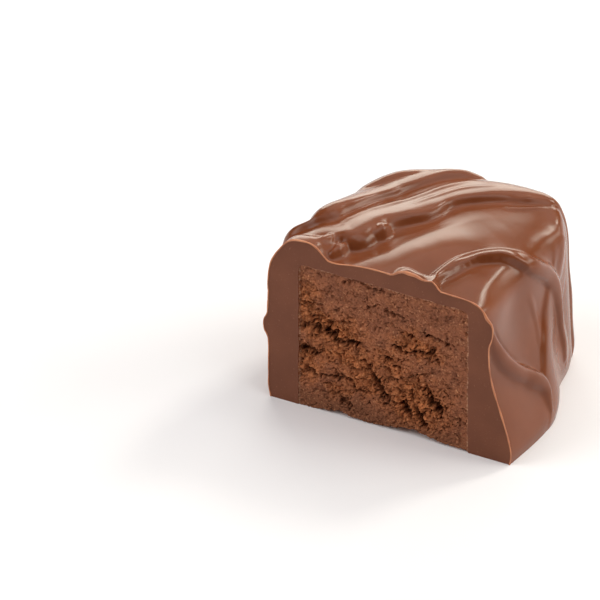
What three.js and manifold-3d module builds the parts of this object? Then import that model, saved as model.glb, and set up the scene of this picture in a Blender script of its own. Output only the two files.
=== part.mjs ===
// A chocolate meltaway cut open: an aerated chocolate centre inside a strung milk chocolate coating.
// Millimetres, +Z up. The cut face looks along -Y, the uncut sides are left, right and back, and
// the part stands on z = 0 with its origin in the middle of the base.

import * as THREE from "three";
import { mergeVertices } from "three/addons/utils/BufferGeometryUtils.js";
import Module from "manifold-3d";

const wasm = await Module();
wasm.setup();

// ---- driving dimensions ----------------------------------------------------------------------
const bodyWidth = 27.2; // wall to wall, above the foot
const bodyDepth = 24; // cut face to back wall
const bodyHeight = 19.3; // base to the top between the strings
const cutAway = 6; // what the knife took off in front of the cut face
const planSquareness = 5; // exponent of the outline seen from above
const shoulderSquareness = { left: 10, right: 13 }; // exponents of the outline seen from the side
const grid = { across: 20, along: 20, upright: 18 }; // facets on the coated body

const footHeight = 12.5; // where the foot starts to spread
const footSpread = 0.4; // average reach of the foot past the wall
const heelHeight = 2; // the rounding under the foot
const heelTuck = 0.35;
const tuckAtFoot = 0.4; // share of a corner's tuck that reaches the foot
const foldPeak = 0.8; // below 1, the wall folds are deepest below mid height
const swellFade = 6; // how fast a swell of the top dies away down the walls
const stringRadius = 0.75;
const stringSides = 7;
const stringLift = 0.1; // a string's centre above the coating
const stepLength = 1.3; // facet length along a string
const endThinning = 0.5; // share of the thickness lost at a string's ends

const centreWidth = 20.6; // the pocket for the filling, side to side
const centreHeight = 17.8;
const centreShift = 0.62; // the pocket's middle, right of the body's middle
const centreRounding = 0.8;
const backWall = 3.6; // coating behind the filling
const backRounding = { left: 7, right: 2.5 }; // the pocket's back corners, seen from above
const fitGap = 0.3;
const chipHeight = 0.75; // the crumbled lower edge of the cut filling

const far = 100; // size of the cutting blocks
const middle = new THREE.Vector3(0, (bodyDepth - cutAway) / 2, bodyHeight * 0.45);

// ---- small helpers ---------------------------------------------------------------------------
const bell = (t, width) => Math.exp(-((t / width) ** 2));
const plateau = (t, width) => Math.exp(-((t / width) ** 4));
const norm = (a, b, power) => (Math.abs(a) ** power + Math.abs(b) ** power) ** (1 / power);

function solidFrom(geometry) {
  const bare = new THREE.BufferGeometry();
  const source = geometry.index ? geometry.toNonIndexed() : geometry;
  bare.setAttribute("position", source.getAttribute("position"));
  const merged = mergeVertices(bare, 1e-4);
  return new wasm.Manifold(
    new wasm.Mesh({
      numProp: 3,
      vertProperties: merged.getAttribute("position").array,
      triVerts: new Uint32Array(merged.index.array),
    }),
  );
}

function geometryFrom(solid) {
  const mesh = solid.getMesh();
  const geometry = new THREE.BufferGeometry();
  geometry.setAttribute("position", new THREE.BufferAttribute(mesh.vertProperties, 3));
  geometry.setIndex(new THREE.BufferAttribute(mesh.triVerts, 1));
  geometry.computeVertexNormals();
  return geometry;
}

function blockBetween(low, high) {
  const size = new THREE.Vector3().subVectors(high, low);
  const block = new THREE.BoxGeometry(size.x, size.y, size.z);
  const centre = new THREE.Vector3().addVectors(low, high).multiplyScalar(0.5);
  return solidFrom(block.translate(centre.x, centre.y, centre.z));
}

function moveVertices(geometry, move) {
  const position = geometry.getAttribute("position");
  const point = new THREE.Vector3();
  for (let i = 0; i < position.count; i++) {
    point.fromBufferAttribute(position, i);
    move(point);
    position.setXYZ(i, point.x, point.y, point.z);
  }
  return geometry;
}

// ---- coated body -----------------------------------------------------------------------------
// Each lobe of the foot: its bearing round the middle in degrees (0 is right, 90 is the back),
// how wide it is, and how far it reaches past the average foot.
const footLobes = [
  { bearing: -14, width: 34, reach: 2.8 },
  { bearing: 96, width: 20, reach: 0.5 },
  { bearing: 140, width: 18, reach: 0.9 },
  { bearing: 215, width: 30, reach: -0.5 },
];

// Where a whole corner draws in, more and more towards the top.
const cornerTucks = [{ bearing: 140, width: 24, reach: -2.3 }];

// Upright folds in the walls, where the coating ran down: negative is a hollow.
const wallFolds = [
  { bearing: -4, width: 12, reach: -0.35 },
  { bearing: 17, width: 5, reach: -0.3 },
  { bearing: 26, width: 6, reach: 0.35 },
  { bearing: 75, width: 9, reach: -0.4 },
  { bearing: 118, width: 8, reach: 0.35 },
  { bearing: 165, width: 10, reach: -0.35 },
  { bearing: 190, width: 7, reach: 0.3 },
];

// Swells of the top: place across and back, half widths, and rise.
const topSwells = [
  { x: -9.3, y: 0, wide: 2.3, deep: 4.2, rise: 1.35 },
  { x: 3.3, y: 0, wide: 1.4, deep: 1.8, rise: 0.7 },
  { x: -1, y: 0, wide: 3, deep: 5, rise: -0.3 },
];

function turnBetween(bearing, other) {
  return ((bearing - other + 540) % 360) - 180;
}

function sumAround(list, bearing, shape) {
  return list.reduce((sum, one) => sum + one.reach * shape(turnBetween(bearing, one.bearing), one.width), 0);
}

// How far the wall stands out from the plain block at a bearing and a height.
function wallReach(bearing, height) {
  const rise = THREE.MathUtils.clamp(height / bodyHeight, 0, 1);
  const low = THREE.MathUtils.smoothstep(footHeight - height, 0, footHeight);
  const foot = (footSpread + sumAround(footLobes, bearing, plateau)) * low;
  const heel = heelTuck * THREE.MathUtils.clamp(1 - height / heelHeight, 0, 1) ** 2;
  const fold = sumAround(wallFolds, bearing, bell) * Math.sin(Math.PI * rise ** foldPeak);
  const tuck = sumAround(cornerTucks, bearing, bell) * THREE.MathUtils.lerp(tuckAtFoot, 1, rise);
  return foot + fold + tuck - heel;
}

function topSwell(x, y) {
  return topSwells.reduce(
    (sum, one) => sum + one.rise * plateau(x - one.x, one.wide) * plateau(y - one.y, one.deep),
    0,
  );
}

// Turns a point on the cube from -1 to 1 into a point on the coated body.
function shapeBody(point) {
  const { left, right } = shoulderSquareness;
  const plan = norm(point.x, point.y, planSquareness);
  const scale = Math.max(Math.abs(point.x), Math.abs(point.y), Math.abs(point.z));
  const shoulder = THREE.MathUtils.mapLinear(point.x, -1, 1, left, right);
  point.multiplyScalar(scale / norm(plan, point.z, shoulder));
  const height = point.z * bodyHeight;
  const rise = THREE.MathUtils.clamp(point.z, 0, 1);
  const bearing = THREE.MathUtils.radToDeg(Math.atan2(point.y, point.x));
  const outward = Math.min(1, plan) ** 2 * wallReach(bearing, height);
  const place = new THREE.Vector2(point.x * bodyWidth, point.y * (bodyDepth + cutAway)).divideScalar(2);
  place.addScaledVector(place.clone().normalize(), outward);
  place.y += middle.y;
  point.set(place.x, place.y, height + topSwell(place.x, place.y) * rise ** swellFade);
}

function bodyGeometry() {
  const cube = new THREE.BoxGeometry(2, 2, 2, grid.across, grid.along, grid.upright);
  return moveVertices(cube, shapeBody);
}

// ---- strings of chocolate over the coating -----------------------------------------------------
// Each string is laid along a few aims, and lies where the line from the middle through an aim
// leaves the coating. Its thickness is beside the usual string's.
const strings = {
  shoulder: {
    thickness: 1.05,
    aims: [
      [6.3, -2.5, 19.4],
      [6.7, 2.9, 19.4],
      [8.6, 7.7, 19.4],
      [12.0, 9.9, 19.0],
      [13.7, 13.6, 15.6],
      [13.2, 16.8, 10.4],
      [12.2, 20.2, 4.0],
      [12.2, 22.0, -0.8],
    ],
  },
  flank: {
    thickness: 1.1,
    aims: [
      [12.8, -2.0, 18.6],
      [14.0, 0.5, 14.2],
      [14.5, 4.0, 8.5],
      [15.3, 8.5, 4.7],
      [15.1, 12.8, -0.8],
    ],
  },
  diagonal: {
    thickness: 1.2,
    aims: [
      [-14.8, -3.0, 8.0],
      [-13.8, 3.0, 12.2],
      [-12.6, 5.0, 17.4],
      [-9.4, 2.8, 20.2],
      [-5.0, 4.6, 19.4],
      [-4.1, 8.6, 19.4],
      [-1.0, 12.2, 19.4],
      [1.7, 17.2, 19.3],
      [7.4, 20.8, 18.9],
      [8.8, 23.0, 9.6],
      [9.6, 23.6, -0.8],
    ],
  },
  backDiagonal: {
    thickness: 1.2,
    aims: [
      [-13.2, 1.4, -0.8],
      [-13.6, 3.8, 8.6],
      [-12.5, 6.4, 17.2],
      [-10.2, 5.2, 19.4],
      [-8.0, 10.2, 19.4],
      [-4.3, 18.1, 19.4],
      [-0.4, 22.6, 16.6],
      [3.6, 23.4, 5.6],
      [4.6, 23.8, -0.8],
    ],
  },
  corner: {
    thickness: 1.05,
    aims: [
      [-13.8, 6.2, -0.8],
      [-13.6, 8.8, 11.0],
      [-10.9, 9.6, 19.0],
      [-8.4, 15.0, 19.2],
      [-4.9, 20.2, 19.0],
      [-2.6, 23.2, 10.4],
      [-2.8, 24.0, -0.8],
    ],
  },
};

// Beads where a string doubled back on itself: place, and radius beside the string's.
const beads = [
  { at: [-5.6, 1.9, 19.5], size: 1.5 },
  { at: [-7.2, 2.0, 20.0], size: 1.3 },
  { at: [-3.4, 7.2, 19.5], size: 1.5 },
];

function surfaceFinder(body) {
  const target = new THREE.Mesh(body, new THREE.MeshBasicMaterial({ side: THREE.DoubleSide }));
  const ray = new THREE.Raycaster();
  return (aim) => {
    const direction = aim.clone().sub(middle).normalize();
    ray.set(middle, direction);
    const hit = ray.intersectObject(target)[0];
    return hit.point.addScaledVector(direction, stringLift);
  };
}

// A round rope through the aims, thinning towards both ends where it has run down the walls.
function stringGeometry({ thickness, aims }, land) {
  const points = aims.map((aim) => new THREE.Vector3(...aim));
  const aimed = new THREE.CatmullRomCurve3(points, false, "centripetal");
  const steps = Math.round(aimed.getLength() / stepLength);
  const path = new THREE.CatmullRomCurve3(aimed.getSpacedPoints(steps).map(land));
  const round = new THREE.Shape().absarc(0, 0, stringRadius, 0, 2 * Math.PI);
  const rope = new THREE.ExtrudeGeometry(round, {
    steps,
    curveSegments: stringSides,
    bevelEnabled: false,
    extrudePath: path,
  });
  const stations = path.getSpacedPoints(steps);
  return moveVertices(rope, (point) => {
    const distances = stations.map((station) => station.distanceToSquared(point));
    const nearest = distances.indexOf(Math.min(...distances));
    const fromMiddle = Math.abs((2 * nearest) / steps - 1);
    point.lerpVectors(stations[nearest], point.clone(), thickness * (1 - endThinning * fromMiddle ** 3));
  });
}

function beadGeometry({ at, size }, land) {
  const ball = new THREE.SphereGeometry(stringRadius * size, 10, 8);
  const place = land(new THREE.Vector3(...at));
  return ball.translate(place.x, place.y, place.z);
}

// ---- aerated centre ----------------------------------------------------------------------------
// The centre is where its section, run from front to back, meets its outline seen from above.
function centreBlock(inset) {
  const half = centreWidth / 2 - inset;
  const top = centreHeight - inset;
  const rounding = centreRounding - inset;
  const section = new THREE.Shape();
  section.moveTo(-half, -bodyHeight);
  section.lineTo(half, -bodyHeight);
  section.lineTo(half, top - rounding);
  section.absarc(half - rounding, top - rounding, rounding, 0, Math.PI / 2);
  section.absarc(rounding - half, top - rounding, rounding, Math.PI / 2, Math.PI);
  const lengthwise = new THREE.ExtrudeGeometry(section, {
    depth: cutAway + bodyDepth,
    bevelEnabled: false,
    curveSegments: 4,
  });
  lengthwise.rotateX(Math.PI / 2).translate(centreShift, bodyDepth, 0);

  const back = bodyDepth - backWall - inset;
  const left = backRounding.left - inset;
  const right = backRounding.right - inset;
  const plan = new THREE.Shape();
  plan.moveTo(-half, -cutAway);
  plan.lineTo(half, -cutAway);
  plan.lineTo(half, back - right);
  plan.absarc(half - right, back - right, right, 0, Math.PI / 2);
  plan.absarc(left - half, back - left, left, Math.PI / 2, Math.PI);
  const upright = new THREE.ExtrudeGeometry(plan, {
    depth: 2 * bodyHeight,
    bevelEnabled: false,
    curveSegments: 5,
  });
  upright.translate(centreShift, 0, -bodyHeight / 2);
  return solidFrom(lengthwise).intersect(solidFrom(upright));
}

// Hollows in the cut face of the filling: place across and up, half length, half height, depth.
const hollows = [
  { x: -5.7, z: 10.1, long: 1.5, high: 0.7, depth: 1.0 },
  { x: -2.9, z: 9.7, long: 1.0, high: 0.5, depth: 0.8 },
  { x: -8.2, z: 6.9, long: 0.8, high: 0.7, depth: 0.8 },
  { x: -6.2, z: 4.8, long: 1.9, high: 0.4, depth: 0.7 },
  { x: 2.2, z: 14.9, long: 1.2, high: 0.35, depth: 0.6 },
  { x: 6.9, z: 13.0, long: 1.6, high: 0.45, depth: 0.8 },
  { x: 5.3, z: 11.2, long: 1.9, high: 0.45, depth: 0.8 },
  { x: 1.2, z: 8.8, long: 0.6, high: 0.6, depth: 0.8 },
  { x: 0.1, z: 5.6, long: 0.6, high: 1.5, depth: 1.0 },
  { x: 3.1, z: 3.4, long: 0.9, high: 0.9, depth: 1.1 },
  { x: 6.8, z: 5.0, long: 0.9, high: 1.3, depth: 1.2 },
  { x: 5.1, z: 2.4, long: 0.6, high: 1.1, depth: 0.9 },
];

// Chips out of the filling's lower edge at the cut: place across, half width, share of the height.
const edgeChips = [
  { x: -4.8, wide: 1.1, share: 0.6 },
  { x: -2.1, wide: 1.3, share: 0.4 },
  { x: 3.7, wide: 2.5, share: 1.0 },
  { x: 7.6, wide: 1.3, share: 0.5 },
];

function hollowSolid({ x, z, long, high, depth }) {
  const hollow = new THREE.SphereGeometry(1, 9, 7);
  return solidFrom(hollow.scale(long, depth, high).translate(x, 0, z));
}

function chipSolid({ x, wide, share }) {
  const chip = new THREE.SphereGeometry(1, 10, 8);
  return solidFrom(chip.scale(wide, chipHeight * 2, chipHeight * share).translate(x, 0, 0));
}

// ---- assembly ----------------------------------------------------------------------------------
const kept = blockBetween(new THREE.Vector3(-far, 0, 0), new THREE.Vector3(far, far, far));

function coatingSolid() {
  const body = bodyGeometry();
  const land = surfaceFinder(body);
  const ropes = Object.values(strings).map((route) => solidFrom(stringGeometry(route, land)));
  const drops = beads.map((bead) => solidFrom(beadGeometry(bead, land)));
  const whole = [...ropes, ...drops].reduce((total, one) => total.add(one), solidFrom(body));
  return whole.intersect(kept).subtract(centreBlock(0));
}

function fillingSolid() {
  const whole = centreBlock(fitGap).intersect(kept);
  const taken = [...hollows.map(hollowSolid), ...edgeChips.map(chipSolid)];
  return taken.reduce((total, one) => total.subtract(one), whole);
}

const milkChocolate = new THREE.MeshStandardMaterial({ color: 0x8c5338, roughness: 0.32, metalness: 0 });
const meltawayCentre = new THREE.MeshStandardMaterial({ color: 0x6f4129, roughness: 0.9, metalness: 0 });

function namedMesh(name, solid, material) {
  const mesh = new THREE.Mesh(geometryFrom(solid), material);
  mesh.name = name;
  return mesh;
}

const meltaway = new THREE.Group();
meltaway.add(namedMesh("coating", coatingSolid(), milkChocolate));
meltaway.add(namedMesh("filling", fillingSolid(), meltawayCentre));

// The origin is the middle of the base of the box around the part.
const bounds = new THREE.Box3().setFromObject(meltaway);
const centre = bounds.getCenter(new THREE.Vector3());
meltaway.position.set(-centre.x, -centre.y, -bounds.min.z);

export default meltaway;
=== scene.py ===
import math

import bmesh
import bpy
import numpy as np
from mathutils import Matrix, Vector, noise
from mathutils.bvhtree import BVHTree
from mathutils.kdtree import KDTree


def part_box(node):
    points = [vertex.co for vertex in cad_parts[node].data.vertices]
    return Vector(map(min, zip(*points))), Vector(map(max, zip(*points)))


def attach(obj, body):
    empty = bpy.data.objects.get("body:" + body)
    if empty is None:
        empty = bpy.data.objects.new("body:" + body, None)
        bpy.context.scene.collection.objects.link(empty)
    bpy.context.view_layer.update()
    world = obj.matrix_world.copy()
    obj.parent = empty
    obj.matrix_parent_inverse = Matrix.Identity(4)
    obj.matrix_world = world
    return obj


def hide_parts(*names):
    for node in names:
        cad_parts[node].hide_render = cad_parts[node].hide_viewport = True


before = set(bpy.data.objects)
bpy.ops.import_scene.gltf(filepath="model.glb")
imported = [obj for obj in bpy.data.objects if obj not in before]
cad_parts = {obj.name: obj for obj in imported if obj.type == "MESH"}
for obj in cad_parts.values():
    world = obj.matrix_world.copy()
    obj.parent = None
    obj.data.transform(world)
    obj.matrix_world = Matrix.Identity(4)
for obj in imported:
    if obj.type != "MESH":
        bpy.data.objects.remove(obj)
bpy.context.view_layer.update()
mm = 0.001

# Shapes are worked out in millimetres from the middle of the body's cut edge:
# x to the right, y back from the cut, z up. finishPiece moves them into the part's frame.
fillingShift = 0.62  # the filling sits this far right of the body's middle
coatingLow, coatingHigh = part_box("coating")
fillingLow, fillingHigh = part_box("filling")
fillingMiddle = (fillingLow.x + fillingHigh.x) / 2
bodyOrigin = Vector((fillingMiddle - fillingShift * mm, coatingLow.y, coatingLow.z))


def smoothStep(value, low, high):
    t = np.clip((value - low) / (high - low), 0, 1)
    return t * t * (3 - 2 * t)


def bell(distance, width):
    return np.exp(-((distance / width) ** 2))


def plateau(distance, width):
    return np.exp(-((distance / width) ** 4))


def smoothMax(a, b, blend):
    return 0.5 * (a + b + np.sqrt((a - b) ** 2 + blend**2))


def readPoints(bm):
    return np.array([vert.co[:] for vert in bm.verts])


def writePoints(bm, points):
    for vert, point in zip(bm.verts, points.tolist()):
        vert.co = point


def splitAlong(bm, axis, cuts):
    edges = []
    for edge in bm.edges:
        span = edge.verts[0].co - edge.verts[1].co
        if abs(span[axis]) > 0.99 * span.length:
            edges.append(edge)
    bmesh.ops.subdivide_edges(bm, edges=edges, cuts=cuts, use_grid_fill=True)


def cutFlat(bm, place, outward):
    geometry = bm.verts[:] + bm.edges[:] + bm.faces[:]
    result = bmesh.ops.bisect_plane(
        bm, geom=geometry, dist=1e-5, plane_co=place, plane_no=outward, clear_outer=True
    )
    edges = [item for item in result["geom_cut"] if isinstance(item, bmesh.types.BMEdge)]
    return bmesh.ops.contextual_create(bm, geom=edges)["faces"]


def finishPiece(name, bm, slotName, *materials):
    bmesh.ops.scale(bm, vec=(mm, mm, mm), verts=bm.verts)
    bmesh.ops.translate(bm, vec=bodyOrigin, verts=bm.verts)
    mesh = bpy.data.meshes.new(name)
    bm.to_mesh(mesh)
    bm.free()
    for material in materials:
        mesh.materials.append(material)
    piece = bpy.data.objects.new(name, mesh)
    bpy.context.collection.objects.link(piece)
    if slotName:  # the pocket's cutter has none
        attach(piece, "root")
    return piece


def newMaterial(name):
    material = bpy.data.materials.new(name)
    material.use_nodes = True
    tree = material.node_tree
    return material, tree, tree.nodes["Principled BSDF"]


def addNode(tree, kind, links=None, **values):
    node = tree.nodes.new(kind)
    for key, value in values.items():
        if hasattr(node, key):
            setattr(node, key, value)
    for key, value in (links or {}).items():
        socket = node.inputs[key]
        if isinstance(value, bpy.types.NodeSocket):
            tree.links.new(value, socket)
        else:
            socket.default_value = value
    return node


def addNoise(tree, coordinates, scale, detail=4.0, roughness=0.55, stretch=None):
    if stretch:
        mapping = addNode(tree, "ShaderNodeMapping", {"Vector": coordinates, "Scale": stretch})
        coordinates = mapping.outputs[0]
    values = {"Vector": coordinates, "Scale": scale, "Detail": detail, "Roughness": roughness}
    return addNode(tree, "ShaderNodeTexNoise", values).outputs["Fac"]


def addRamp(tree, factor, stops):
    node = addNode(tree, "ShaderNodeValToRGB", {"Fac": factor})
    elements = node.color_ramp.elements
    while len(elements) < len(stops):
        elements.new(0.5)
    for element, (place, color) in zip(elements, stops):
        element.position = place
        element.color = (*color, 1)
    return node.outputs["Color"]


def addMix(tree, factor, first, second, blendType="MIX"):
    node = tree.nodes.new("ShaderNodeMix")
    node.data_type = "RGBA"
    node.blend_type = blendType
    for index, value in ((0, factor), (6, first), (7, second)):
        if isinstance(value, bpy.types.NodeSocket):
            tree.links.new(value, node.inputs[index])
        elif index == 0:
            node.inputs[index].default_value = value
        else:
            node.inputs[index].default_value = (*value, 1)
    return node.outputs[2]


def addProduct(tree, first, second):
    node = tree.nodes.new("ShaderNodeMath")
    node.operation = "MULTIPLY"
    for index, value in enumerate((first, second)):
        if isinstance(value, bpy.types.NodeSocket):
            tree.links.new(value, node.inputs[index])
        else:
            node.inputs[index].default_value = value
    return node.outputs[0]


def addRange(tree, value, fromMin, fromMax, toMin=0.0, toMax=1.0):
    limits = {"From Min": fromMin, "From Max": fromMax, "To Min": toMin, "To Max": toMax}
    return addNode(tree, "ShaderNodeMapRange", {"Value": value, **limits}).outputs[0]


def addBump(tree, height, strength, distance):
    values = {"Height": height, "Strength": strength, "Distance": distance}
    return addNode(tree, "ShaderNodeBump", values).outputs[0]


def fromRgb(red, green, blue):
    channels = []
    for value in (red, green, blue):
        value /= 255
        channels.append(value / 12.92 if value <= 0.04045 else ((value + 0.055) / 1.055) ** 2.4)
    return tuple(channels)


camera = {
    "azimuth": 28.3,  # degrees to the right of the cut face
    "elevation": 32.0,
    "distance": 1.5,  # metres; a long lens keeps the edges nearly parallel
    "lens": 834.12,
    "sensor": 36.0,
    "cornerX": -12.965,  # the cut's lower left corner, on the body
    "cornerRight": -3.0751,  # and how far it lies from the middle of the view
    "cornerUp": -10.3798,
}


def makeCamera():
    azimuth = math.radians(camera["azimuth"])
    elevation = math.radians(camera["elevation"])
    level = math.cos(elevation)
    back = Vector((math.sin(azimuth) * level, -math.cos(azimuth) * level, math.sin(elevation)))
    right = Vector((math.cos(azimuth), math.sin(azimuth), 0))
    up = back.cross(right)
    corner = bodyOrigin + Vector((camera["cornerX"] * mm, 0, 0))
    offset = right * camera["cornerRight"] + up * camera["cornerUp"]
    data = bpy.data.cameras.new("camera")
    data.sensor_width = camera["sensor"]
    data.lens = camera["lens"]
    data.clip_end = 20
    item = bpy.data.objects.new("camera", data)
    item.location = corner - offset * mm + back * camera["distance"]
    item.rotation_euler = back.to_track_quat("Z", "Y").to_euler()
    bpy.context.collection.objects.link(item)
    bpy.context.scene.camera = item


makeCamera()
print("camera set")

studio = {
    "floorRadius": 4.0,  # metres
    "floorColor": (0.9, 0.892, 0.925),
    "floorRoughness": 0.8,
    "floorGloss": 0.1,
    "worldStrength": 0.0,
    "aim": (0, 0, 0.01),
}
glossColor = (1.0, 0.97, 0.85)  # of the lights that the top and the wall mirror
fillColor = (1.0, 0.98, 0.95)
# name, azimuth (0 is straight out of the cut, positive to the right), elevation, distance,
# width, height, watts, color
lights = [
    ("horizonLight", 209, 14, 0.9, 0.7, 0.4, 3.9, glossColor),
    ("cornerLight", 148, 5, 0.9, 0.7, 0.14, 0.3, glossColor),
    ("streakLight", 158, 40, 0.8, 0.17, 0.22, 1.9, glossColor),
    ("sideLight", 116, 28, 0.8, 0.5, 0.24, 2.7, glossColor),
    ("beadLight", 140, 20, 0.8, 0.12, 0.16, 0.35, glossColor),
    ("rightLight", 85, 60, 0.8, 0.6, 0.6, 2.2, fillColor),
    ("highLight", 200, 60, 0.8, 0.6, 0.6, 1.5, fillColor),
    ("topLight", 0, 75, 0.8, 0.6, 0.6, 1.0, fillColor),
    ("fillLight", 308, 30, 0.8, 0.6, 0.6, 3.7, fillColor),
]


def makeStudio():
    bm = bmesh.new()
    bmesh.ops.create_circle(bm, cap_ends=True, segments=96, radius=studio["floorRadius"])
    bmesh.ops.translate(bm, vec=(0, 0, bodyOrigin.z), verts=bm.verts)
    mesh = bpy.data.meshes.new("floor")
    bm.to_mesh(mesh)
    bm.free()
    material, tree, shader = newMaterial("paleFloor")
    shader.inputs["Base Color"].default_value = (*studio["floorColor"], 1)
    shader.inputs["Roughness"].default_value = studio["floorRoughness"]
    shader.inputs["Specular IOR Level"].default_value = studio["floorGloss"]
    mesh.materials.append(material)
    floor = bpy.data.objects.new("floor", mesh)
    bpy.context.collection.objects.link(floor)

    world = bpy.data.worlds.new("studio")
    world.use_nodes = True
    world.node_tree.nodes["Background"].inputs["Strength"].default_value = studio["worldStrength"]
    bpy.context.scene.world = world

    aim = Vector(studio["aim"])
    for name, azimuth, elevation, distance, width, height, watts, color in lights:
        data = bpy.data.lights.new(name, "AREA")
        data.shape = "RECTANGLE"
        data.size = width
        data.size_y = height
        data.energy = watts
        data.color = color
        turn, lift = math.radians(azimuth), math.radians(elevation)
        away = Vector((math.sin(turn) * math.cos(lift), -math.cos(turn) * math.cos(lift), math.sin(lift)))
        item = bpy.data.objects.new(name, data)
        item.location = aim + away * distance
        item.rotation_euler = away.to_track_quat("Z", "Y").to_euler()
        bpy.context.collection.objects.link(item)
    bpy.context.scene.view_settings.view_transform = "Standard"


makeStudio()
print("floor and lights set")

coat = {
    "width": 27.2,
    "depth": 24.0,
    "height": 19.3,
    "cutAway": 6.0,  # how much of the front is gone
    "frontMargin": 1.6,  # the block runs this far past the cut and the base until it is cut flat
    "baseMargin": 1.0,
    "cuts": (190, 185, 100),
    "planSquareness": 5,  # higher is squarer
    "shoulderLeft": 10,
    "shoulderRight": 14,
    "footHeight": 12.5,
    "footSpread": 0.4,
    "heelHeight": 2.0,
    "heelTuck": 0.35,
    "tuckAtFoot": 0.4,
    "foldPeak": 0.8,  # below 1, the folds are deepest above the middle
    "swellFade": 6,
    "waveDepth": 0.07,
    "waveLength": 4.0,
    "smoothing": 3,
}
# around the body, in degrees from the right: bearing, half width, how far out
footLobes = [(-16, 34, 2.8), (96, 20, 0.5), (140, 18, 0.9), (215, 30, -0.5)]
cornerTucks = [(136, 27, -3.0), (70, 15, 0.4), (30, 22, -0.9)]
wallFolds = [
    (-4, 12, -0.35),
    (75, 9, -0.4),
    (118, 8, 0.35),
    (165, 10, -0.35),
    (190, 7, 0.3),
]
# on the top: x, y, half width, half depth, rise
topSwells = [
    (-9.4, 0, 2.35, 2.2, 1.35),
    (3.9, 0, 1.7, 1.5, 1.15),
    (-13.2, 12.5, 3.2, 8.5, -1.3),
    (-13.5, 24, 5.5, 8, -1.5),
    (10.4, 6.2, 2.6, 4.4, 0.35),
    (14.3, 5.5, 2.6, 4.5, -1.0),
]
bodyDepth = coat["depth"] + coat["cutAway"]  # of the whole sweet, before the cut
bodyMiddle = Vector((0, (coat["depth"] - coat["cutAway"]) / 2, coat["height"] * 0.45))


def sumAround(items, bearing, shape):
    total = np.zeros_like(bearing)
    for at, width, reach in items:
        total += reach * shape((bearing - at + 540) % 360 - 180, width)
    return total


def wallReach(bearing, height):
    rise = np.clip(height / coat["height"], 0, 1)
    low = smoothStep(coat["footHeight"] - height, 0, coat["footHeight"])
    foot = (coat["footSpread"] + sumAround(footLobes, bearing, plateau)) * low
    heel = coat["heelTuck"] * np.clip(1 - height / coat["heelHeight"], 0, 1) ** 2
    fold = sumAround(wallFolds, bearing, bell) * np.sin(math.pi * rise ** coat["foldPeak"])
    tuckShare = coat["tuckAtFoot"] + (1 - coat["tuckAtFoot"]) * rise
    return foot + fold + sumAround(cornerTucks, bearing, bell) * tuckShare - heel


# bends a cube from -1 to 1 into the bare body
def shapeBody(cube):
    x, y, z = cube.T
    shoulder = coat["shoulderLeft"] + (x + 1) / 2 * (coat["shoulderRight"] - coat["shoulderLeft"])
    square = coat["planSquareness"]
    plan = (np.abs(x) ** square + np.abs(y) ** square) ** (1 / square)
    full = (plan**shoulder + np.abs(z) ** shoulder) ** (1 / shoulder)
    scale = np.max(np.abs(cube), axis=1) / full
    x, y, z, plan = x * scale, y * scale, z * scale, plan * scale
    height = z * coat["height"]
    outward = np.minimum(1, plan) ** 2 * wallReach(np.degrees(np.arctan2(y, x)), height)
    place = np.stack([x * coat["width"], y * bodyDepth], axis=1) / 2
    place += place / np.maximum(np.linalg.norm(place, axis=1), 1e-6)[:, None] * outward[:, None]
    place[:, 1] += bodyMiddle.y
    swell = np.zeros_like(height)
    for atX, atY, wide, deep, rise in topSwells:
        swell += rise * plateau(place[:, 0] - atX, wide) * plateau(place[:, 1] - atY, deep)
    height = height + swell * np.clip(z, 0, 1) ** coat["swellFade"]
    return np.column_stack([place, height])


def makeBlock():
    bm = bmesh.new()
    bmesh.ops.create_cube(bm, size=2)
    for axis, cuts in enumerate(coat["cuts"]):
        splitAlong(bm, axis, cuts - 1)
    cube = readPoints(bm)
    front = (-coat["frontMargin"] - bodyMiddle.y) * 2 / bodyDepth
    bottom = -coat["baseMargin"] / coat["height"]
    cube[:, 1] = front + (cube[:, 1] + 1) / 2 * (1 - front)
    cube[:, 2] = bottom + (cube[:, 2] + 1) / 2 * (1 - bottom)
    writePoints(bm, shapeBody(cube))
    bm.normal_update()
    return bm


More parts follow.
